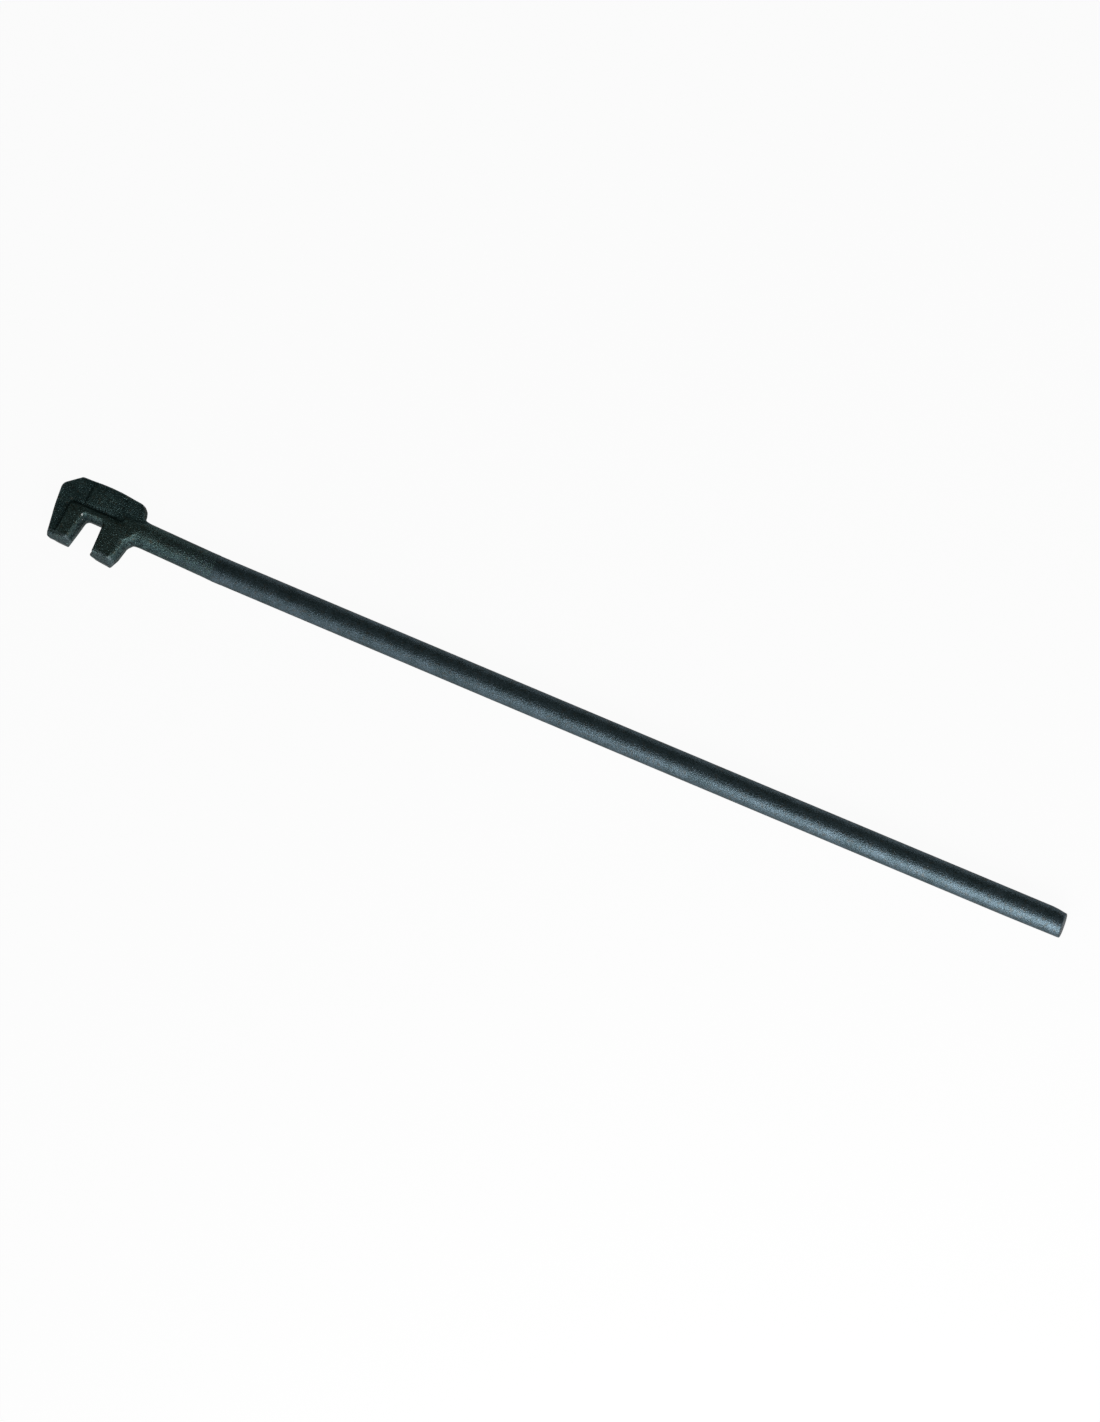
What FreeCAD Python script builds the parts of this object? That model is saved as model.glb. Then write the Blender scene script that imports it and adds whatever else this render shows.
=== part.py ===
"""Rebar bending claw: a drop-forged two-jaw claw head welded to a long round steel bar.

Millimetres.  +X runs along the bar from the head to the free end, +Y points to the spine of the
head (the jaws open towards -Y) and +Z is up, with the tool lying flat.  The origin is at the
bottom centre of the whole tool.
"""
import FreeCAD, Part
import math
import os

Vector = FreeCAD.Vector

# Bar and its joint to the head
bar_diameter = 16.0           # round bar, and the round shank of the head
bar_length = 538.5            # from the weld root to the free end
end_taper_length = 12.0       # drawn-down stretch at the free end
end_diameter = 14.6           # across the free end, outside its rounded edge
end_rounding = 0.8            # radius between the taper and the end face
root_face_diameter = 6.0      # flat root where shank and bar butt together
groove_half_angle = 30.0      # bevel on each side of the weld groove, degrees

# Head in plan on the parting plane: x from the middle of the slot floor, y from the bar axis
slot_root_width = 11.4        # between the walls at the slot floor
slot_mouth_width = 15.9       # between the walls at the jaw tips
slot_wall_lean = 1.3          # near wall's share of that widening
slot_depth = 19.0             # from the slot floor to the end of the far jaw
slot_floor_drop = 3.1         # slot floor below the bar axis
slot_corner_radius = 1.6      # in the two corners of the slot floor
far_tip_width = 14.0          # end of the far jaw
far_tip_slant = 0.5           # far jaw end drops this much towards the slot
far_side_reach = 28.55        # widest point of the far side, from the slot middle
near_tip_width = 12.5         # end of the near jaw
near_tip_drop = 0.5           # near jaw longer than the far one, at the slot
near_tip_slant = 1.4          # near jaw end drops this much away from the slot
near_flank_step = 2.7         # turn of the near jaw's flank, out from its tip corner
near_flank_rise = 6.4         # the same turn, above the tip corner
near_flank_radius = 8.0       # plan rounding at that turn
near_side_lean = 4.8          # flank where it meets the shank, out from the tip corner
jaw_tip_radius = 1.6          # plan rounding of the jaw tip corners
jaw_tip_bevel = 1.5           # eased edge of both faces along the jaw ends
crotch_radius = 3.6           # between the near jaw and the shank
crotch_run = 4.6              # lower side of the shank drawn in this far past the flank
spine_rise = 20.3             # top of the spine above the bar axis
spine_far_drop = 0.6          # spine lower than that at the cut corner
spine_end_drop = 2.1          # spine lower than that at its shank end
spine_end_reach = 22.65       # shank end of the spine, from the slot middle
spine_crown_radius = 90.0     # plan curve of the spine
corner_cut_length = 10.2      # cut corner of the spine, along the bar
corner_cut_height = 8.5       # cut corner of the spine, across the bar
corner_radius = 5.2           # plan rounding where the cut meets the far side
shoulder_height = 5.3         # shoulder corner above the shank
shoulder_run = 3.4            # shoulder corner past the end of the spine
shoulder_lean = 0.6           # foot of the shoulder past its corner
neck_run = 5.05               # neck past the foot of the shoulder
shoulder_radius = 4.2         # plan rounding of the shoulder corners
shoulder_fillet = 3.0         # plan rounding at the foot of the shoulder

# Head thickness and relief, the same on both faces
head_thickness = 16.0         # across the jaws
rim_thickness = 11.0          # across the lower spine and far rim
draft_angle = 8.5             # sides of the head lean in from the parting plane, degrees
least_plan_radius = 0.5       # sharpest plan rounding that the draft leaves at a face
face_bevel = 0.8              # eased edge all round both faces
band_far_foot = 12.8          # foot of the raised band, out from the slot's far wall
band_far_ramp = 6.8           # width of the slope up from that foot
band_step_width = 1.7         # the slope is steep over this first stretch of it
band_step_rise = 1.6          # height of that steep stretch
band_top_foot = 6.2           # foot of the raised band above the slot floor
band_top_ramp = 4.0           # width of the slope up from that foot
band_top_end = 15.4           # where the band's upper foot turns to the neck
band_turn_radius = 8.0        # plan rounding at that turn
band_corner_radius = 3.0      # plan rounding at the band's far corner
band_near_margin = 7.0        # foot of the band's near slope, out from the near tip corner
band_near_ramp = 6.5          # width of that slope
band_near_drop = 5.0          # where that slope turns, below the neck's band
neck_band_half_width = 5.8    # half width of the band's foot at the neck
panel_lift = 0.5              # plain panel on the spine, above the rim
panel_start = -9.2            # far end of the panel, from the slot middle
panel_length = 22.0
panel_width = 12.2
panel_clearance = 0.9         # panel above the foot of the band
panel_corner_radius = 2.0

# Shank of the head
shank_length = 50.0           # from the neck to the weld root
shank_offset = 1.6            # shank centre above the bar axis at the neck
shank_lead_in = 12.0          # how far the round shank is drawn into the head
shank_lead_taper = 0.8        # loss of radius over that lead-in
shoulder_flare = 5.0          # flare from the shank up into the shoulder
crotch_flare = 5.0            # flare from the shank down into the near jaw

# Turned shapes
curve_steps = 6               # chords in each quarter turn of a turned profile

# Worked out from the sizes above
bar_radius = bar_diameter / 2
shank_top = shank_offset + bar_radius
shank_bottom = shank_offset - bar_radius
slot_floor = -slot_floor_drop
jaw_end = slot_floor - slot_depth
slot_near_root = slot_root_width / 2
slot_far_root = -slot_root_width / 2
slot_near_mouth = slot_near_root + slot_wall_lean
slot_far_mouth = slot_near_mouth - slot_mouth_width
near_tip_x = slot_near_mouth + near_tip_width
near_tip_y = jaw_end - near_tip_drop - near_tip_slant
flank_foot = near_tip_x + near_side_lean
crotch_reach = flank_foot + crotch_run
shoulder_x = spine_end_reach + shoulder_run
neck_reach = shoulder_x + shoulder_lean + neck_run
rim_face = rim_thickness / 2
jaw_face = head_thickness / 2
foot_x = slot_far_root - band_far_foot
foot_y = slot_floor + band_top_foot
weld_x = neck_reach + shank_length
free_end_x = weld_x + bar_length


def rounded_wire(corners, z):
    """Closed wire at height z through corners (x, y, radius), each rounded by its own arc."""
    edges = []
    ends = []
    for index, (x, y, radius) in enumerate(corners):
        corner = Vector(x, y, z)
        x_before, y_before, _ = corners[index - 1]
        x_after, y_after, _ = corners[(index + 1) % len(corners)]
        inwards = (Vector(x_before, y_before, z) - corner).normalize()
        onwards = (Vector(x_after, y_after, z) - corner).normalize()
        half_turn = (math.pi - inwards.getAngle(onwards)) / 2
        setback = radius * math.tan(half_turn)
        start = corner + inwards * setback
        end = corner + onwards * setback
        if radius > 0:
            bisector = (inwards + onwards).normalize()
            middle = corner + bisector * (radius / math.cos(half_turn) - radius)
            edges.append(Part.Arc(start, middle, end).toShape())
        ends.append((start, end))
    for index, (start, _) in enumerate(ends):
        edges.append(Part.LineSegment(ends[index - 1][1], start).toShape())
    return Part.Wire(Part.__sortEdges__(edges))


def inset_corners(corners, inset):
    """Outline drawn in by an inset; its corners run anticlockwise."""
    drawn_in = []
    for index, (x, y, radius) in enumerate(corners):
        x_before, y_before, _ = corners[index - 1]
        x_after, y_after, _ = corners[(index + 1) % len(corners)]
        arriving = Vector(x - x_before, y - y_before, 0).normalize()
        leaving = Vector(x_after - x, y_after - y, 0).normalize()
        share = inset / (1 + arriving.dot(leaving))
        turn = math.copysign(inset, arriving.cross(leaving).z)
        if radius > 0:
            radius = max(radius - turn, least_plan_radius)
        drawn_in.append((x - share * (arriving.y + leaving.y),
                         y + share * (arriving.x + leaving.x), radius))
    return drawn_in


def bevelled_slab(corners, half_height, bevel):
    """Prism over an outline, from -half_height to half_height, with both rims bevelled."""
    face = Part.Face(rounded_wire(corners, -half_height))
    prism = face.extrude(Vector(0, 0, 2 * half_height))
    rims = []
    for edge in prism.Edges:
        if edge.BoundBox.ZLength < half_height:
            rims.append(edge)
    return prism.makeChamfer(bevel, rims)


def sloped_slab(low_corners, high_corners, low, high):
    """Solid between two outlines that have the same corners in other places."""
    wires = [rounded_wire(low_corners, low), rounded_wire(high_corners, high)]
    return Part.makeLoft(wires, True, True)


def on_both_faces(solid):
    """The solid with its mirror image below the middle plane."""
    return solid.fuse(solid.mirror(Vector(0, 0, 0), Vector(0, 0, 1)))


def turned(profile, base, direction):
    """Solid of revolution from (distance, radius) points along a line from base."""
    points = [Vector(distance, radius, 0) for distance, radius in profile]
    face = Part.Face(Part.makePolygon(points + points[:1]))
    solid = face.revolve(Vector(0, 0, 0), Vector(1, 0, 0), 360)
    turn = FreeCAD.Rotation(Vector(1, 0, 0), direction)
    solid.Placement = FreeCAD.Placement(base, turn)
    return solid


def head_outline():
    """Outline of the claw, from the outer corner of the far jaw round the slot to the spine."""
    return [
        (slot_far_mouth - far_tip_width, jaw_end + far_tip_slant, jaw_tip_radius),
        (slot_far_mouth, jaw_end, jaw_tip_radius),
        (slot_far_root, slot_floor, slot_corner_radius),
        (slot_near_root, slot_floor, slot_corner_radius),
        (slot_near_mouth, jaw_end - near_tip_drop, jaw_tip_radius),
        (near_tip_x, near_tip_y, jaw_tip_radius),
        (near_tip_x + near_flank_step, near_tip_y + near_flank_rise, near_flank_radius),
        (flank_foot, shank_bottom, crotch_radius),
        (crotch_reach, shank_bottom, 0),
        (neck_reach, shank_top, 0),
        (shoulder_x + shoulder_lean, shank_top, shoulder_fillet),
        (shoulder_x, shank_top + shoulder_height, shoulder_radius),
        (spine_end_reach, spine_rise - spine_end_drop, shoulder_radius),
        (0, spine_rise, spine_crown_radius),
        (corner_cut_length - far_side_reach, spine_rise - spine_far_drop, jaw_tip_radius),
        (-far_side_reach, spine_rise - spine_far_drop - corner_cut_height, corner_radius),
    ]


def forged_slab(half_height):
    """Claw body over its outline, with drafted sides and both rims bevelled."""
    draft = math.tan(math.radians(draft_angle))
    edge = half_height - face_bevel
    sections = []
    for height, inset in ((0, 0), (edge, draft * edge), (half_height, draft * edge + face_bevel)):
        sections.append(rounded_wire(inset_corners(head_outline(), inset), height))
    return on_both_faces(Part.makeLoft(sections, True, True))


def band_corners(inset_far, inset_top, inset_neck, reach_down):
    """Outline of the raised band round the slot, drawn in from its foot by the given insets."""
    near_x = near_tip_x + band_near_margin - inset_neck
    return [
        (foot_x + inset_far, reach_down, 0),
        (foot_x + inset_far, foot_y - inset_top, band_corner_radius),
        (band_top_end, foot_y - inset_top, band_turn_radius),
        (crotch_reach, shank_offset + neck_band_half_width - inset_top, 0),
        (crotch_reach, shank_offset - neck_band_half_width + inset_top, 0),
        (near_x, shank_offset - neck_band_half_width - band_near_drop, band_turn_radius / 2),
        (near_x, reach_down, 0),
    ]


def raised_band():
    """Full-thickness band round the slot that slopes down to the lower rim and into the neck."""
    below_jaws = near_tip_y - jaw_tip_radius
    near_step = band_near_ramp * band_step_rise / (jaw_face - rim_face)
    foot = band_corners(0, 0, 0, below_jaws)
    step = band_corners(band_step_width, band_step_width, near_step, below_jaws)
    crown = band_corners(band_far_ramp, band_top_ramp, band_near_ramp, below_jaws)
    step_face = rim_face + band_step_rise
    lower = on_both_faces(sloped_slab(foot, step, rim_face, step_face))
    upper = on_both_faces(sloped_slab(step, crown, step_face, jaw_face))
    return lower.fuse(upper).common(forged_slab(jaw_face))


def marking_panel():
    """Plain panel that stands slightly proud of the spine on both faces."""
    low = foot_y + panel_clearance
    corners = [
        (panel_start, low, panel_corner_radius),
        (panel_start + panel_length, low, panel_corner_radius),
        (panel_start + panel_length, low + panel_width, panel_corner_radius),
        (panel_start, low + panel_width, panel_corner_radius),
    ]
    return bevelled_slab(corners, rim_face + panel_lift, panel_lift)


def flare(reach, radius, side):
    """Half of a flare about the shank, which opens towards the head from the given reach."""
    profile = [(0, 0), (0, bar_radius)]
    for step in range(1, curve_steps + 1):
        angle = math.radians(90 * step / curve_steps)
        profile.append((-radius * math.sin(angle), bar_radius + radius * (1 - math.cos(angle))))
    far = 2 * (spine_rise + slot_depth)
    profile += [(-radius, far), (-2 * far, far), (-2 * far, 0)]
    whole = turned(profile, Vector(reach, shank_offset, 0), Vector(1, 0, 0))
    corner = Vector(reach - 2 * far, shank_offset + min(side, 0) * far, -far)
    return whole.common(Part.makeBox(2 * far, far, 2 * far, corner))


def weld_groove(reach):
    """V groove about the bar axis at the weld root, out to the given radius."""
    root_radius = root_face_diameter / 2
    half_width = (reach - root_radius) * math.tan(math.radians(groove_half_angle))
    profile = [(0, root_radius), (half_width, reach), (-half_width, reach)]
    return turned(profile, Vector(weld_x, 0, 0), Vector(1, 0, 0))


def jaw_end_wedges():
    """Wedges that ease both faces of the head along the ends of the jaws."""
    half_length = far_side_reach + neck_reach
    profile = [(near_tip_y - jaw_tip_bevel, jaw_face), (near_tip_y + jaw_tip_bevel, jaw_face),
               (near_tip_y - jaw_tip_bevel, jaw_face - 2 * jaw_tip_bevel)]
    points = [Vector(-half_length, y, z) for y, z in profile]
    wedge = Part.Face(Part.makePolygon(points + points[:1])).extrude(Vector(2 * half_length, 0, 0))
    return on_both_faces(wedge)


def shank():
    """Round shank, drawn a little into the head and slightly oblique to the bar."""
    start = Vector(crotch_reach, shank_offset, 0)
    along = Vector(weld_x - crotch_reach, -shank_offset, 0).normalize()
    length = weld_x - crotch_reach + bar_radius
    profile = [(-shank_lead_in, 0), (-shank_lead_in, bar_radius - shank_lead_taper),
               (0, bar_radius), (length, bar_radius), (length, 0)]
    past_weld = Part.makeBox(length, bar_diameter * 2, bar_diameter * 2,
                             Vector(weld_x, -bar_diameter, -bar_diameter))
    return turned(profile, start, along).cut([past_weld, weld_groove(bar_diameter)])


def claw_head():
    """Forged head: rim, raised band, panel and the round shank up to the weld root."""
    rim = forged_slab(rim_face)
    head = rim.fuse([raised_band(), marking_panel()]).cut(jaw_end_wedges())
    flares = flare(neck_reach, shoulder_flare, 1).fuse(flare(crotch_reach, crotch_flare, -1))
    return head.common(flares).fuse(shank()).removeSplitter()


def handle_bar():
    """Round bar from the weld root to the drawn-down, softly rounded free end."""
    taper_x = free_end_x - end_taper_length
    end_radius = end_diameter / 2
    profile = [(weld_x, 0), (weld_x, bar_radius), (taper_x, bar_radius)]
    for step in range(curve_steps + 1):
        angle = math.radians(90 * step / curve_steps)
        profile.append((free_end_x - end_rounding * (1 - math.sin(angle)),
                        end_radius - end_rounding * (1 - math.cos(angle))))
    profile.append((free_end_x, 0))
    bar = turned(profile, Vector(0, 0, 0), Vector(1, 0, 0))
    return bar.cut(weld_groove(bar_diameter))


def groove_weld():
    """Ring of weld metal that fills the groove, dressed flush with the bar."""
    return weld_groove(bar_radius)


def export(nodes):
    """Put the origin at the bottom centre of the whole tool and write one file for each piece."""
    box = Part.makeCompound(list(nodes.values())).optimalBoundingBox()
    bottom_centre = Vector((box.XMin + box.XMax) / 2, (box.YMin + box.YMax) / 2, box.ZMin)
    os.makedirs("parts", exist_ok=True)
    for name, shape in nodes.items():
        shape.translate(-bottom_centre)
        shape.exportStep("parts/" + name + ".step")
        print(name, "valid", shape.isValid(), "solids", len(shape.Solids))
    print("slot middle, bar axis and middle plane at", -bottom_centre)


export({"claw_head": claw_head(), "handle_bar": handle_bar(), "groove_weld": groove_weld()})
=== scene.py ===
import bpy
import math
import numpy as np
from mathutils import Matrix, Vector


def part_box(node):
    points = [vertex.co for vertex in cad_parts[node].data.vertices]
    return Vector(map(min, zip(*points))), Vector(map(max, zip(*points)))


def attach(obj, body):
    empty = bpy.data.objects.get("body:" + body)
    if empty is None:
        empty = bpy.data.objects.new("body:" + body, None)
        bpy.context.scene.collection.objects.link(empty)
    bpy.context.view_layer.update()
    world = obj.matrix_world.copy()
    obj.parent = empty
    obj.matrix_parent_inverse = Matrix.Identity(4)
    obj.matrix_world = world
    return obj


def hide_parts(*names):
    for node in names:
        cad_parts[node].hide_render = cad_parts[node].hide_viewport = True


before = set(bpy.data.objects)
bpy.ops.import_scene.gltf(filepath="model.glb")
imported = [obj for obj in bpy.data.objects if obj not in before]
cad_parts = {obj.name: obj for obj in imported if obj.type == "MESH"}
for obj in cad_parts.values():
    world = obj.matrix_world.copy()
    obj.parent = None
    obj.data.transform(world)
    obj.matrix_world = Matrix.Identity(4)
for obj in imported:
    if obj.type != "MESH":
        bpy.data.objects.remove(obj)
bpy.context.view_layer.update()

MM = 0.001


# ---------------------------------------------------------------- small helpers

def linear(hex_colour):
    """sRGB hex, such as "3a4b46", to the linear RGBA that the shaders take."""
    channels = [int(hex_colour[i:i + 2], 16) / 255 for i in (0, 2, 4)]
    return [c / 12.92 if c <= 0.04045 else ((c + 0.055) / 1.055) ** 2.4 for c in channels] + [1.0]


def add(tree, kind, links=None, **settings):
    """Adds a node; settings are properties or input values, links maps an input to a socket."""
    made = tree.nodes.new(kind)
    for key, value in settings.items():
        if key.startswith("in_"):
            name = key[3:].replace("_", " ")
            made.inputs[int(name) if name.isdigit() else name].default_value = value
        else:
            setattr(made, key, value)
    for name, socket in (links or {}).items():
        tree.links.new(socket, made.inputs[name])
    return made


def lattice_noise(points, size, seed):
    """Smooth noise from -1 to 1 at points, with lumps about size across."""
    scaled = points / size
    cell = np.floor(scaled).astype(np.int64)
    part = scaled - cell
    part = part * part * part * (part * (part * 6 - 15) + 10)
    total = np.zeros(len(points))
    for corner in range(8):
        step = np.array([corner & 1, corner >> 1 & 1, corner >> 2 & 1])
        key = (cell + step) @ np.array([73856093, 19349663, 83492791]) + seed * 2654435761
        key = (key ^ (key >> 13)) * 1274126177 & 0x7FFFFFFF
        value = ((key ^ (key >> 16)) & 0xFFFF) / 32767.5 - 1
        total += value * np.prod(np.where(step, part, 1 - part), axis=1)
    return total


# ---------------------------------------------------------------- places, from the frame

head_low, head_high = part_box("claw_head")
bar_low, bar_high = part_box("handle_bar")
weld_low, weld_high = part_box("groove_weld")

bar_radius = (bar_high.z - bar_low.z) / 2
axis_y = (bar_low.y + bar_high.y) / 2
axis_z = (bar_low.z + bar_high.z) / 2
WELD_X = 81.7                 # from the middle of the slot to the weld root, millimetres
slot_middle_x = bar_low.x - WELD_X * MM
TIP_SLANT = 0.056             # the jaw ends drop this much for each length towards the bar
NEAR_TIP_X = 20.5             # outer corner of the near jaw's end, from the slot middle
tip_end = head_low.y + TIP_SLANT * (slot_middle_x + NEAR_TIP_X * MM)


# ---------------------------------------------------------------- finishes

CLOUD_MM, CLOUD_SHARE = 9.0, 0.4


def oxide_material(name, dark, light, fleck, grain_mm, roughness, relief_mm, zones=()):
    """Black iron oxide left by hot working, under a thin satin lacquer.

    The grain mottles it between dark and light, the clouds shift that mottle from place to
    place, the flecks are rust, and the relief breaks up the shine.  Grain finer than this would
    vanish at the size the whole tool is seen.
    Each zone is (colour, measure, start, end, amount): the colour comes in, broken up by the
    spots, as the measure goes from start to end.  The measure is x, tip (y along the slant of
    the jaw ends), the depth from the middle plane or the distance from a point.  Some zones
    are painted shade, painted highlights and painted glints rather than oxide colour.
    """
    material = bpy.data.materials.new(name)
    material.use_nodes = True
    tree = material.node_tree
    shader = tree.nodes["Principled BSDF"]
    place = add(tree, "ShaderNodeTexCoord").outputs["Object"]

    def noise(size_mm, detail=2.0, roughness=0.5, shift=0.0):
        moved = add(tree, "ShaderNodeMapping", {"Vector": place}, in_Location=(shift, shift, shift))
        made = add(tree, "ShaderNodeTexNoise", {"Vector": moved.outputs[0]},
                   in_Scale=1 / (size_mm * MM), in_Detail=detail, in_Roughness=roughness)
        return made.outputs["Fac"]

    def ramp(value, low, high, start, end):
        return add(tree, "ShaderNodeMapRange", {"Value": value},
                   in_1=low, in_2=high, in_3=start, in_4=end).outputs[0]

    grain = noise(grain_mm, 3.0, 0.6)
    cloud = noise(CLOUD_MM, 3.0, 0.6, 0.11)
    spots = noise(1.3 * grain_mm, 1.0, 0.5, 0.23)
    rust = noise(2.4 * grain_mm, 2.0, 0.5, 0.37)

    soft = ramp(cloud, 0.0, 1.0, 0.5 - 0.5 * CLOUD_SHARE, 0.5 + 0.5 * CLOUD_SHARE)
    blend = add(tree, "ShaderNodeMath", {0: grain, 1: soft}, operation="ADD").outputs[0]
    coat = add(tree, "ShaderNodeMix", {0: ramp(blend, 0.82, 1.18, 0.0, 1.0)}, data_type="RGBA",
               in_6=linear(dark), in_7=linear(light)).outputs[2]
    colour = add(tree, "ShaderNodeMix", {0: ramp(rust, 0.55, 0.70, 0.0, 0.5), 6: coat},
                 data_type="RGBA", in_7=linear(fleck)).outputs[2]
    x, y, z = add(tree, "ShaderNodeSeparateXYZ", {0: place}).outputs
    middle = add(tree, "ShaderNodeMath", {0: z}, operation="SUBTRACT", in_1=axis_z)
    depth = add(tree, "ShaderNodeMath", {0: middle.outputs[0]}, operation="ABSOLUTE")
    tip = add(tree, "ShaderNodeMath", {0: x, 2: y}, operation="MULTIPLY_ADD", in_1=TIP_SLANT)
    measures = {"x": x, "tip": tip.outputs[0], "depth": depth.outputs[0]}
    for zone_colour, measure, start, end, amount in zones:
        if measure not in measures:
            measures[measure] = add(tree, "ShaderNodeVectorMath", {0: place}, operation="DISTANCE",
                                    in_1=measure).outputs["Value"]
        reach = ramp(measures[measure], start, end, 0.0, 1.0)
        patchy = add(tree, "ShaderNodeMath", {0: reach, 1: ramp(spots, 0.42, 0.58, 0.1, 1.0)},
                     operation="MULTIPLY").outputs[0]
        share = add(tree, "ShaderNodeMath", {0: patchy}, operation="MULTIPLY", in_1=amount)
        colour = add(tree, "ShaderNodeMix", {0: share.outputs[0], 6: colour}, data_type="RGBA",
                     in_7=linear(zone_colour)).outputs[2]
    tree.links.new(colour, shader.inputs["Base Color"])
    satin = ramp(spots, 0.3, 0.7, roughness - 0.10, roughness + 0.12)
    tree.links.new(satin, shader.inputs["Roughness"])
    bump = add(tree, "ShaderNodeBump", {"Height": grain}, in_Strength=1.0,
               in_Distance=relief_mm * MM)
    tree.links.new(bump.outputs[0], shader.inputs["Normal"])
    shader.inputs["Metallic"].default_value = 0.85
    shader.inputs["IOR"].default_value = 1.6
    shader.inputs["Specular Tint"].default_value = linear("a8a4a0")
    return material


def from_slot(x, y, z):
    """The place that many millimetres from the slot middle, the bar axis and the middle plane."""
    return tuple(Vector((slot_middle_x, axis_y, axis_z)) + Vector((x, y, z)) * MM)


# Painted highlight: the edges of the jaw ends are painted lighter for the light they catch, and
# the jaw-end faces below them are painted darker as painted shade.  Rolling about has rubbed the
# raised band browner and the recessed rim keeps its blue-grey scale.  The sides are painted darker
# as painted shade, darkest and brownest below the shoulder, and the shank comes to the bar's colour
# at the weld.  Two bright spots at the slot's corner are painted glints.
forged_oxide_and_painted_light = oxide_material(
    "black_oxide_and_painted_light_forging", "24352f", "708c8d", "60543f", 0.8, 0.32, 0.68,
    zones=[("40606c", "depth", 6.9 * MM, 5.8 * MM, 0.35),
           ("36352a", "depth", 6.9 * MM, 7.7 * MM, 0.45),
           # painted shade: the side walls painted darker
           ("16222a", "depth", 6.4 * MM, 3.2 * MM, 0.85),
           # painted shade: darker and browner below the shoulder
           ("26241c", from_slot(25.6, 15.0, 0.0), 7.5 * MM, 4.5 * MM, 0.8),
           # painted highlight: the edges of the jaw ends painted lighter
           ("9aacb4", "tip", tip_end + 3.7 * MM, tip_end + 3.1 * MM, 0.62),
           # painted shade: the jaw-end faces painted darker
           ("1e2c32", "tip", tip_end + 2.3 * MM, tip_end + 1.5 * MM, 0.80),
           ("52636b", "x", slot_middle_x + 36 * MM, slot_middle_x + 76 * MM, 1.0),
           # painted glints: two bright spots at the slot's corner
           ("f0f4f4", from_slot(-7.3, -3.5, 7.6), 0.8 * MM, 0.4 * MM, 1.0),
           ("f0f4f4", from_slot(-6.3, -5.1, 4.3), 0.8 * MM, 0.4 * MM, 0.9)])
# Bar and dressed weld share one coat, bluer than the forging's and finer in grain.
BAR_COAT = ("394a4e", "6a7c88", "5a564e", 0.7, 0.29, 0.30)
rolled_oxide = oxide_material("black_oxide_rolled_bar", *BAR_COAT)
dressed_oxide = oxide_material("black_oxide_dressed_weld", *BAR_COAT)


# ---------------------------------------------------------------- claw head

# Millimetres, in plan from the middle of the slot floor and the bar axis.
BAND_FOOT_X, BAND_FOOT_Y, BAND_CORNER = -18.5, 3.1, 3.0
CREASE_DEPTH, CREASE_WIDTH = 0.55, 1.0
PANEL_START, PANEL_END = -9.2, 12.8
PANEL_MIDDLE_Y, PANEL_HALF_WIDTH = 10.1, 6.1
PANEL_LIFT, PANEL_CROWN, PANEL_GROOVE = 0.5, 0.55, 0.3
NECK_X = 31.7
SIDE_GROWTH = 0.28
# Height, middle and half length of the swell on the far side (along y) and the spine (along x).
FAR_SWELL, FAR_SWELL_Y, FAR_SWELL_LENGTH = 0.45, -3.0, 9.0
SPINE_SWELL, SPINE_SWELL_X, SPINE_SWELL_LENGTH = 0.35, 8.0, 7.0
LIP_X, LIP_Y, LIP_RADIUS, LIP_HALF_HEIGHT, LIP_SIZE = 7.0, -21.6, 1.6, 2.6, 1.0
NECK_FILLET, NECK_ROUNDS = (30.5, 10.6, 4.0), 24
RIDGE_HEIGHT, RIDGE_HALF_WIDTH = 0.10, 0.55
TEXTURE_SINK = 0.08


def step_up(values, low, high):
    """0 below low, 1 above high and a smooth rise between."""
    part = np.clip((values - low) / (high - low), 0, 1)
    return part * part * (3 - 2 * part)


def face_relief(x, y):
    """Millimetres to add to both faces of the head: crease, crowned panel and its faded end."""
    far = BAND_FOOT_X - x + BAND_CORNER
    top = y - BAND_FOOT_Y + BAND_CORNER
    outside = (np.hypot(np.maximum(far, 0), np.maximum(top, 0))
               + np.minimum(np.maximum(far, top), 0) - BAND_CORNER)
    width = CREASE_WIDTH * (1 + 0.6 * (1 - step_up(x, -19.0, -14.0)))
    crease = np.exp(-((outside - 0.1) / width) ** 2) * (1 - step_up(x, 9.0, 17.0))
    crease *= step_up(y, -19.0, -12.0)
    relief = -CREASE_DEPTH * crease

    across = (y - PANEL_MIDDLE_Y) / PANEL_HALF_WIDTH
    on_panel = (step_up(x, PANEL_START - 0.4, PANEL_START + 0.4)
                * step_up(1.06 - np.abs(across), 0.0, 0.1))
    fade = step_up(x, PANEL_END - 11.0, PANEL_END)
    relief += on_panel * PANEL_CROWN * (1 - across ** 2) * (1 - fade)
    relief -= on_panel * PANEL_LIFT * fade * (x < PANEL_END + 0.2)
    beside = np.exp(-((x - PANEL_START + 0.9) / 0.7) ** 2) * (np.abs(across) < 1)
    relief -= PANEL_GROOVE * beside
    return relief


def forging_texture(points):
    """Millimetres of unevenness that scale and a worn die leave: lumps, ripples and small pits."""
    lumps = 0.07 * lattice_noise(points, 6.0, 11)
    ripples = 0.035 * lattice_noise(points, 2.1, 12)
    grain = 0.028 * lattice_noise(points, 1.2, 13)
    pits = -0.07 * step_up(lattice_noise(points, 1.5, 14), 0.5, 0.85)
    return lumps + ripples + grain + pits


def read_vectors(sequence, key):
    """The three-part values of a mesh sequence as rows."""
    values = np.empty(len(sequence) * 3)
    sequence.foreach_get(key, values)
    return values.reshape(-1, 3)


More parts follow.
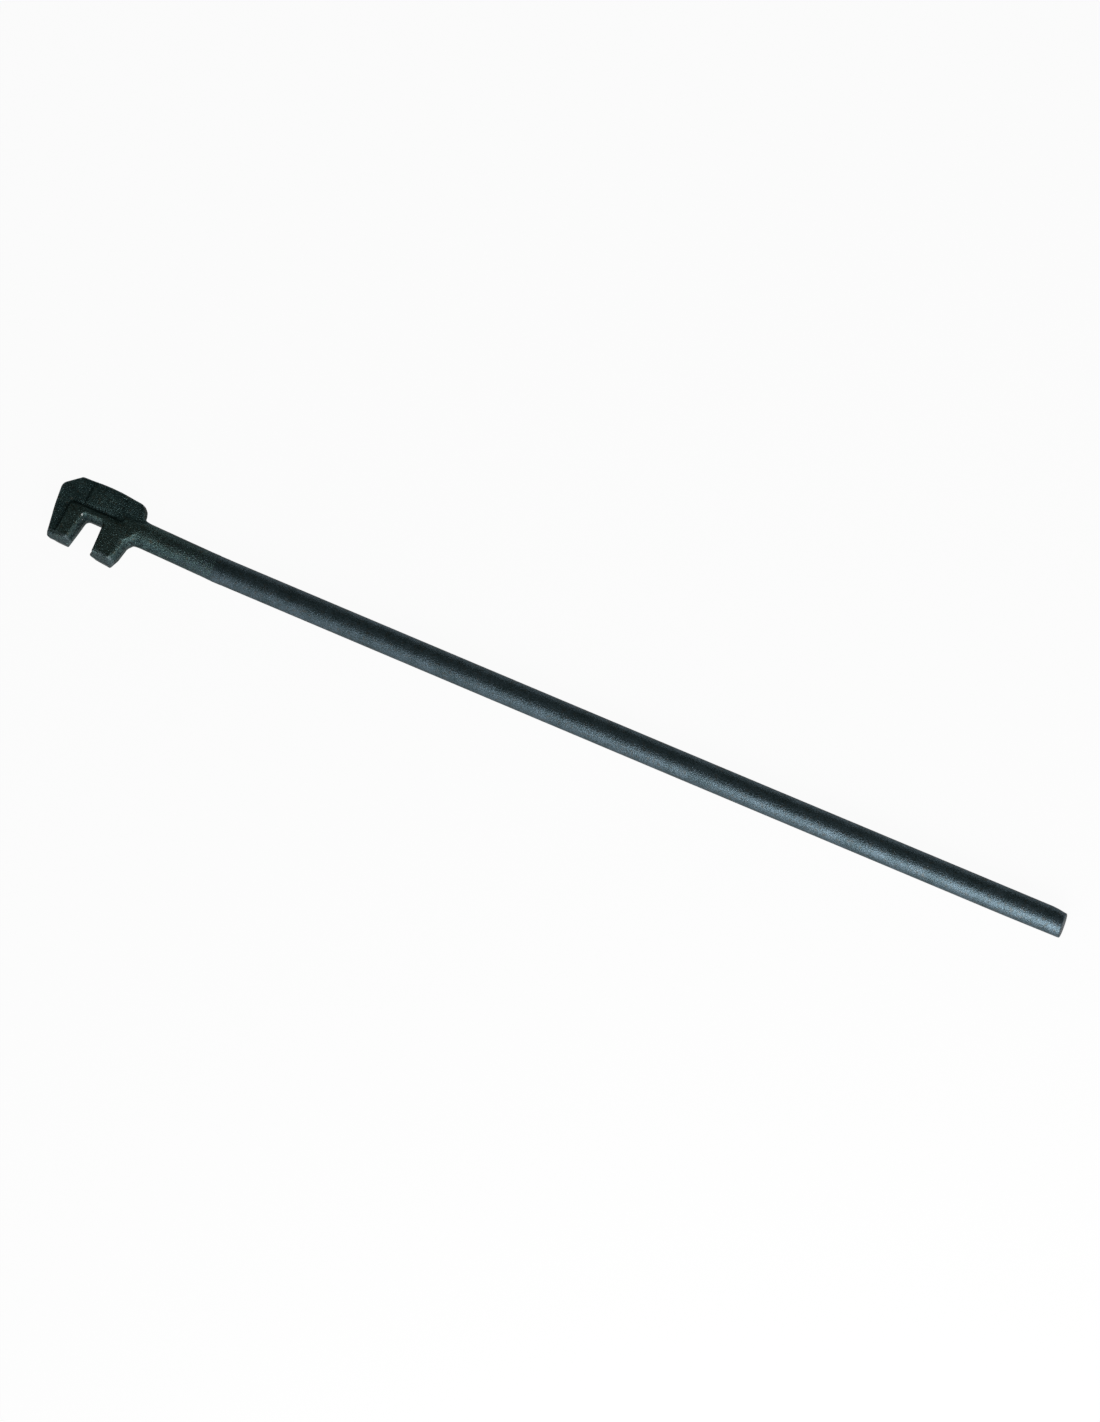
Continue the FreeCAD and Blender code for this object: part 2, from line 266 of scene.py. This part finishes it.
def ease_edges(mesh, rounds):
    """Rounds the edges as a die does, by moving points towards their neighbours."""
    pairs = np.empty(len(mesh.edges) * 2, dtype=np.int64)
    mesh.edges.foreach_get("vertices", pairs)
    one, other = pairs.reshape(-1, 2).T
    count = len(mesh.vertices)
    neighbours = np.bincount(pairs, minlength=count)[:, None]
    where = read_vectors(mesh.vertices, "co")
    # The welded end keeps its edge, because the weld fills flush to it.
    share = 0.5 * (1 - step_up((where[:, 0] - slot_middle_x) / MM, WELD_X - 9.0, WELD_X - 5.0))
    centre_x, centre_y, radius = NECK_FILLET
    from_neck = np.hypot((where[:, 0] - slot_middle_x) / MM - centre_x,
                         (where[:, 1] - axis_y) / MM - centre_y)
    in_fillet = share * (1 - step_up(from_neck, 0.5 * radius, radius))
    for turn in range(rounds + NECK_ROUNDS):
        share = share if turn < rounds else in_fillet
        total = np.zeros_like(where)
        for axis in range(3):
            total[:, axis] = (np.bincount(one, where[other, axis], count)
                              + np.bincount(other, where[one, axis], count))
        where += (total / neighbours - where) * share[:, None]
    mesh.vertices.foreach_set("co", where.ravel())
    mesh.update()


def shape_forging(mesh):
    """Adds relief, the parting ridge and forging texture to the skin of the head."""
    where = read_vectors(mesh.vertices, "co")
    facing = read_vectors(mesh.vertices, "normal")
    local = (where - np.array([slot_middle_x, axis_y, axis_z])) / MM
    x, y, z = local.T

    on_head = 1 - step_up(x, NECK_X - 4.0, NECK_X + 1.0)
    on_face = step_up(np.abs(facing[:, 2]), 0.55, 0.9) * on_head
    move = np.zeros_like(local)
    move[:, 2] += np.sign(facing[:, 2]) * on_face * face_relief(x, y)

    # The dies leave a low ridge along the parting plane; the far side and the spine swell a little.
    on_side = (1 - step_up(np.abs(facing[:, 2]), 0.3, 0.8)) * on_head
    lean = RIDGE_HEIGHT * (1 - np.exp(-(z / RIDGE_HALF_WIDTH) ** 2)) - SIDE_GROWTH
    on_far = step_up(-facing[:, 0], 0.6, 0.9) * (x < -20)
    on_spine = step_up(facing[:, 1], 0.6, 0.9) * (y > 15)
    lean -= FAR_SWELL * np.exp(-((y - FAR_SWELL_Y) / FAR_SWELL_LENGTH) ** 2) * on_far
    lean -= SPINE_SWELL * np.exp(-((x - SPINE_SWELL_X) / SPINE_SWELL_LENGTH) ** 2) * on_spine
    sideways = facing * np.array([1.0, 1.0, 0.0])
    move -= sideways * (on_side * lean)[:, None]

    # The dies met a little short at the near jaw's inner corner and left a lip there.
    reach = ((x - LIP_X) ** 2 + (y - LIP_Y) ** 2) / LIP_RADIUS ** 2 + (z / LIP_HALF_HEIGHT) ** 2
    move[:, :2] += LIP_SIZE * np.exp(-reach)[:, None] * np.array([-0.9, -0.2])

    texture = forging_texture(local) * (1 - 0.65 * step_up(x, NECK_X, NECK_X + 12.0))
    depth = np.minimum(texture, 0.0) + 0.6 * np.maximum(texture, 0.0) - TEXTURE_SINK
    move += facing * (depth * (1 - step_up(x, WELD_X - 8.0, WELD_X - 5.0)))[:, None]
    where = np.clip(where + move * MM, np.array(head_low), np.array(head_high))
    mesh.vertices.foreach_set("co", where.ravel())
    mesh.update()


def baked(shape, name):
    """The evaluated shape as a plain mesh object; the one with modifiers goes."""
    bpy.context.view_layer.update()
    ready = shape.evaluated_get(bpy.context.evaluated_depsgraph_get())
    mesh = bpy.data.meshes.new_from_object(ready)
    bpy.data.objects.remove(shape)
    mesh.name = name
    piece = bpy.data.objects.new(name, mesh)
    bpy.context.scene.collection.objects.link(piece)
    return piece


def forged_head():
    """The forging, softened as a die leaves it, from a merged copy of its construction shape."""
    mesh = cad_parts["claw_head"].data.copy()
    shape = bpy.data.objects.new("claw_head_skin", mesh)
    bpy.context.scene.collection.objects.link(shape)
    merge = shape.modifiers.new("merge", "WELD")
    merge.merge_threshold = 0.002 * MM
    skin = shape.modifiers.new("skin", "REMESH")
    skin.mode = "VOXEL"
    skin.voxel_size = 0.38 * MM
    skin.use_smooth_shade = True
    piece = baked(shape, "claw_head_forging")
    ease_edges(piece.data, 4)
    shape_forging(piece.data)
    piece.data.materials.clear()
    piece.data.materials.append(forged_oxide_and_painted_light)
    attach(piece, "root")
    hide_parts("claw_head")


# ---------------------------------------------------------------- bar and weld

# Millimetres. The smith drew the free end down on one side only, over a short length.
DRAWN_TOP, DRAWN_TOP_LENGTH = 1.1, 11.5
DRAWN_BOTTOM, DRAWN_BOTTOM_LENGTH = 0.3, 39.0
END_ROUNDING, END_DOME, END_SKEW = 0.8, 0.25, 1.0
SKIN_GAP, BAR_BOW = 0.01, 0.32


def bar_stations():
    """(x, radius, sideways shift) along the bar in millimetres from its welded end."""
    length = (bar_high.x - bar_low.x) / MM
    full = bar_radius / MM - SKIN_GAP
    root = 3.0
    slope = (full - root) * math.tan(math.radians(30))
    stations = [(0.0, root * k / 4, 0.0) for k in range(4)]
    stations += [(slope * k / 8, root + (full - root) * k / 8, 0.0) for k in range(9)]
    spacing = 1.0
    body = np.arange(slope + 0.5, length - END_ROUNDING - 0.3, spacing)
    edge = length - END_ROUNDING - END_DOME

    def section(x):
        top = full - DRAWN_TOP * float(step_up(x, length - DRAWN_TOP_LENGTH, length + 3.0)) / 0.9
        bottom = full - DRAWN_BOTTOM * float(step_up(x, length - DRAWN_BOTTOM_LENGTH, length))
        return (top + bottom) / 2, (top - bottom) / 2

    stations += [(x, *section(x)) for x in body if x < edge]
    girth, shift = section(edge)
    for k in range(7):
        turn = math.radians(15 * k)
        stations.append((edge + END_ROUNDING * math.sin(turn),
                         girth - END_ROUNDING * (1 - math.cos(turn)), shift))
    flat = girth - END_ROUNDING
    for k in range(1, 12):
        part = 1 - k / 12
        stations.append((edge + END_ROUNDING + END_DOME * (1 - part * part), flat * part, shift))
    return [(x + bar_low.x / MM, radius, shift) for x, radius, shift in stations]


def round_steel_tree(name, material):
    """Geometry nodes: a line with a girth attribute becomes round steel with an uneven skin."""
    tree = bpy.data.node_groups.new(name, "GeometryNodeTree")
    tree.interface.new_socket("Line", in_out="INPUT", socket_type="NodeSocketGeometry")
    for label in ("Sides", "Unevenness", "Lump size", "Grain", "Grain size"):
        kind = "NodeSocketInt" if label == "Sides" else "NodeSocketFloat"
        tree.interface.new_socket(label, in_out="INPUT", socket_type=kind)
    tree.interface.new_socket("Shape", in_out="OUTPUT", socket_type="NodeSocketGeometry")
    given = add(tree, "NodeGroupInput").outputs
    girth = add(tree, "GeometryNodeInputNamedAttribute", data_type="FLOAT", in_Name="girth")
    path = add(tree, "GeometryNodeMeshToCurve", {"Mesh": given["Line"]})
    ring = add(tree, "GeometryNodeCurvePrimitiveCircle", {"Resolution": given["Sides"]},
               in_Radius=1.0)
    skin = add(tree, "GeometryNodeCurveToMesh",
               {"Curve": path.outputs[0], "Profile Curve": ring.outputs[0],
                "Scale": girth.outputs[0]}, in_Fill_Caps=True)
    where = add(tree, "GeometryNodeInputPosition")
    facing = add(tree, "GeometryNodeInputNormal")
    total = None
    for amount, size in (("Unevenness", "Lump size"), ("Grain", "Grain size")):
        scale = add(tree, "ShaderNodeMath", {1: given[size]}, operation="DIVIDE", in_0=1.0)
        noise = add(tree, "ShaderNodeTexNoise",
                    {"Vector": where.outputs[0], "Scale": scale.outputs[0]}, in_Detail=2.0)
        # Noise only cuts in, so that the steel stays inside its rolled size.
        depth = add(tree, "ShaderNodeMath", {0: noise.outputs["Fac"], 1: given[amount]},
                    operation="MULTIPLY")
        total = depth if total is None else add(
            tree, "ShaderNodeMath", {0: total.outputs[0], 1: depth.outputs[0]}, operation="ADD")
    inwards = add(tree, "ShaderNodeVectorMath", {0: facing.outputs[0], "Scale": total.outputs[0]},
                  operation="SCALE")
    moved = add(tree, "ShaderNodeVectorMath", {0: where.outputs[0], 1: inwards.outputs[0]},
                operation="SUBTRACT")
    uneven = add(tree, "GeometryNodeSetPosition",
                 {"Geometry": skin.outputs[0], "Position": moved.outputs[0]})
    smooth = add(tree, "GeometryNodeSetShadeSmooth", {"Geometry": uneven.outputs[0]})
    real = add(tree, "GeometryNodeRealizeInstances", {"Geometry": smooth.outputs[0]})
    dressed = add(tree, "GeometryNodeSetMaterial", {"Geometry": real.outputs[0]},
                  in_Material=material)
    out = add(tree, "NodeGroupOutput")
    tree.links.new(dressed.outputs[0], out.inputs[0])
    return tree


def shear_end(mesh):
    """Sets the end face a little askew, as a bar cropper leaves it."""
    where = read_vectors(mesh.vertices, "co")
    across = (where[:, 1] - axis_y) / bar_radius
    last = step_up(where[:, 0] - bar_high.x, -9 * MM, 0)
    where[:, 0] -= END_SKEW * MM * (1 + across) / 2 * last
    mesh.vertices.foreach_set("co", where.ravel())
    mesh.update()


def rolled_bar():
    """Hot-rolled round bar along its stations, with the welding bevel and the drawn-down end."""
    stations = bar_stations()
    mesh = bpy.data.meshes.new("handle_bar_line")
    start, length = bar_low.x / MM, (bar_high.x - bar_low.x) / MM
    bow = [BAR_BOW * math.sin(math.pi * (x - start) / length) for x, _, _ in stations]
    mesh.from_pydata([(x * MM, axis_y + (shift - sag) * MM, axis_z)
                      for (x, _, shift), sag in zip(stations, bow)],
                     [(k, k + 1) for k in range(len(stations) - 1)], [])
    girth = mesh.attributes.new("girth", "FLOAT", "POINT")
    girth.data.foreach_set("value", [radius * MM for _, radius, _ in stations])
    shape = bpy.data.objects.new("handle_bar_line", mesh)
    bpy.context.scene.collection.objects.link(shape)
    tree = round_steel_tree("rolled_round_steel", rolled_oxide)
    grow = shape.modifiers.new("grow", "NODES")
    grow.node_group = tree
    sizes = {"Sides": 96, "Unevenness": 0.05 * MM, "Lump size": 9 * MM,
             "Grain": 0.03 * MM, "Grain size": 1.2 * MM}
    for item in tree.interface.items_tree:
        if item.in_out == "INPUT" and item.name in sizes:
            grow[item.identifier] = sizes[item.name]
    piece = baked(shape, "handle_bar_rolled")
    shear_end(piece.data)
    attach(piece, "root")
    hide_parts("handle_bar")


forged_head()
rolled_bar()
weld_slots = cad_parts["groove_weld"].data.materials
weld_slots.clear()
weld_slots.append(dressed_oxide)


# ---------------------------------------------------------------- studio

CAMERA_WHITE, GLOSSY_WHITE = 0.955, 0.62    # share of plain white that such rays see


def white_floor():
    """Plain white floor that shows as white to the camera and keeps a soft shadow."""
    mesh = bpy.data.meshes.new("floor")
    reach = 6.0
    mesh.from_pydata([(-reach, -reach, 0), (reach, -reach, 0), (reach, reach, 0),
                      (-reach, reach, 0)], [], [(0, 1, 2, 3)])
    floor = bpy.data.objects.new("floor", mesh)
    bpy.context.scene.collection.objects.link(floor)
    material = bpy.data.materials.new("white_floor")
    material.use_nodes = True
    tree = material.node_tree
    matt = tree.nodes["Principled BSDF"]
    matt.inputs["Base Color"].default_value = linear("f8f8f8")
    matt.inputs["Roughness"].default_value = 1.0
    matt.inputs["Specular IOR Level"].default_value = 0.0
    rays = add(tree, "ShaderNodeLightPath")
    camera_share = add(tree, "ShaderNodeMath", {0: rays.outputs["Is Camera Ray"]},
                       operation="MULTIPLY", in_1=CAMERA_WHITE)
    share = add(tree, "ShaderNodeMath",
                {0: rays.outputs["Is Glossy Ray"], 2: camera_share.outputs[0]},
                operation="MULTIPLY_ADD", in_1=GLOSSY_WHITE)
    white = add(tree, "ShaderNodeEmission", in_Color=(1, 1, 1, 1), in_Strength=1.0)
    mixed = add(tree, "ShaderNodeMixShader",
                {0: share.outputs[0], 1: matt.outputs[0], 2: white.outputs[0]})
    tree.links.new(mixed.outputs[0], tree.nodes["Material Output"].inputs["Surface"])
    mesh.materials.append(material)


def softbox(name, centre, aim, width, height, radiance):
    """Area lamp whose face has the given radiance, where 1 is as bright as a white wall."""
    lamp = bpy.data.lights.new(name, "AREA")
    lamp.shape = "RECTANGLE"
    lamp.size = width
    lamp.size_y = height
    lamp.energy = radiance * math.pi * width * height
    holder = bpy.data.objects.new(name, lamp)
    holder.location = centre
    holder.rotation_mode = "QUATERNION"
    holder.rotation_quaternion = (Vector(aim) - Vector(centre)).to_track_quat("-Z", "Y")
    bpy.context.scene.collection.objects.link(holder)


def studio():
    """Floor, two soft lamps on the jaw side, the stronger one by the bar's end, and a dim room
    that shows white to the camera."""
    white_floor()
    softbox("key_softbox", (0.60, -0.66, 0.34), (0.60, 0, 0), 0.95, 0.72, 4.6)
    softbox("fill_softbox", (-0.30, -0.70, 0.32), (-0.30, 0, 0), 0.80, 0.62, 0.6)
    world = bpy.data.worlds.new("room")
    world.use_nodes = True
    tree = world.node_tree
    dim = tree.nodes["Background"]
    dim.inputs["Color"].default_value = (0.88, 1, 0.91, 1)
    dim.inputs["Strength"].default_value = 0.085
    white = add(tree, "ShaderNodeBackground", in_Color=(1, 1, 1, 1), in_Strength=1.0)
    rays = add(tree, "ShaderNodeLightPath")
    mixed = add(tree, "ShaderNodeMixShader", {0: rays.outputs["Is Camera Ray"], 1: dim.outputs[0],
                                              2: white.outputs[0]})
    tree.links.new(mixed.outputs[0], tree.nodes["World Output"].inputs["Surface"])
    bpy.context.scene.world = world


def camera():
    """Long lens looking down on the flat side of the tool, turned so that the bar runs down."""
    towards_camera = Vector((0.21, -0.275, 0.938)).normalized()
    across = Vector((0, 1, 0)).cross(towards_camera).normalized()
    upward = towards_camera.cross(across)
    roll, distance = 0.46, 3.6
    right = across * math.cos(roll) + upward * math.sin(roll)
    up = upward * math.cos(roll) - across * math.sin(roll)
    target = Vector((bar_high.x - 323.95 * MM, axis_y - 0.957 * MM, axis_z))
    data = bpy.data.cameras.new("camera")
    data.lens = 157.44
    data.sensor_width = 36
    data.clip_end = 50
    holder = bpy.data.objects.new("camera", data)
    turn = Matrix((right, up, towards_camera)).transposed().to_4x4()
    holder.matrix_world = Matrix.Translation(target + towards_camera * distance) @ turn
    bpy.context.scene.collection.objects.link(holder)
    bpy.context.scene.camera = holder


studio()
camera()
bpy.context.scene.view_settings.view_transform = "Standard"
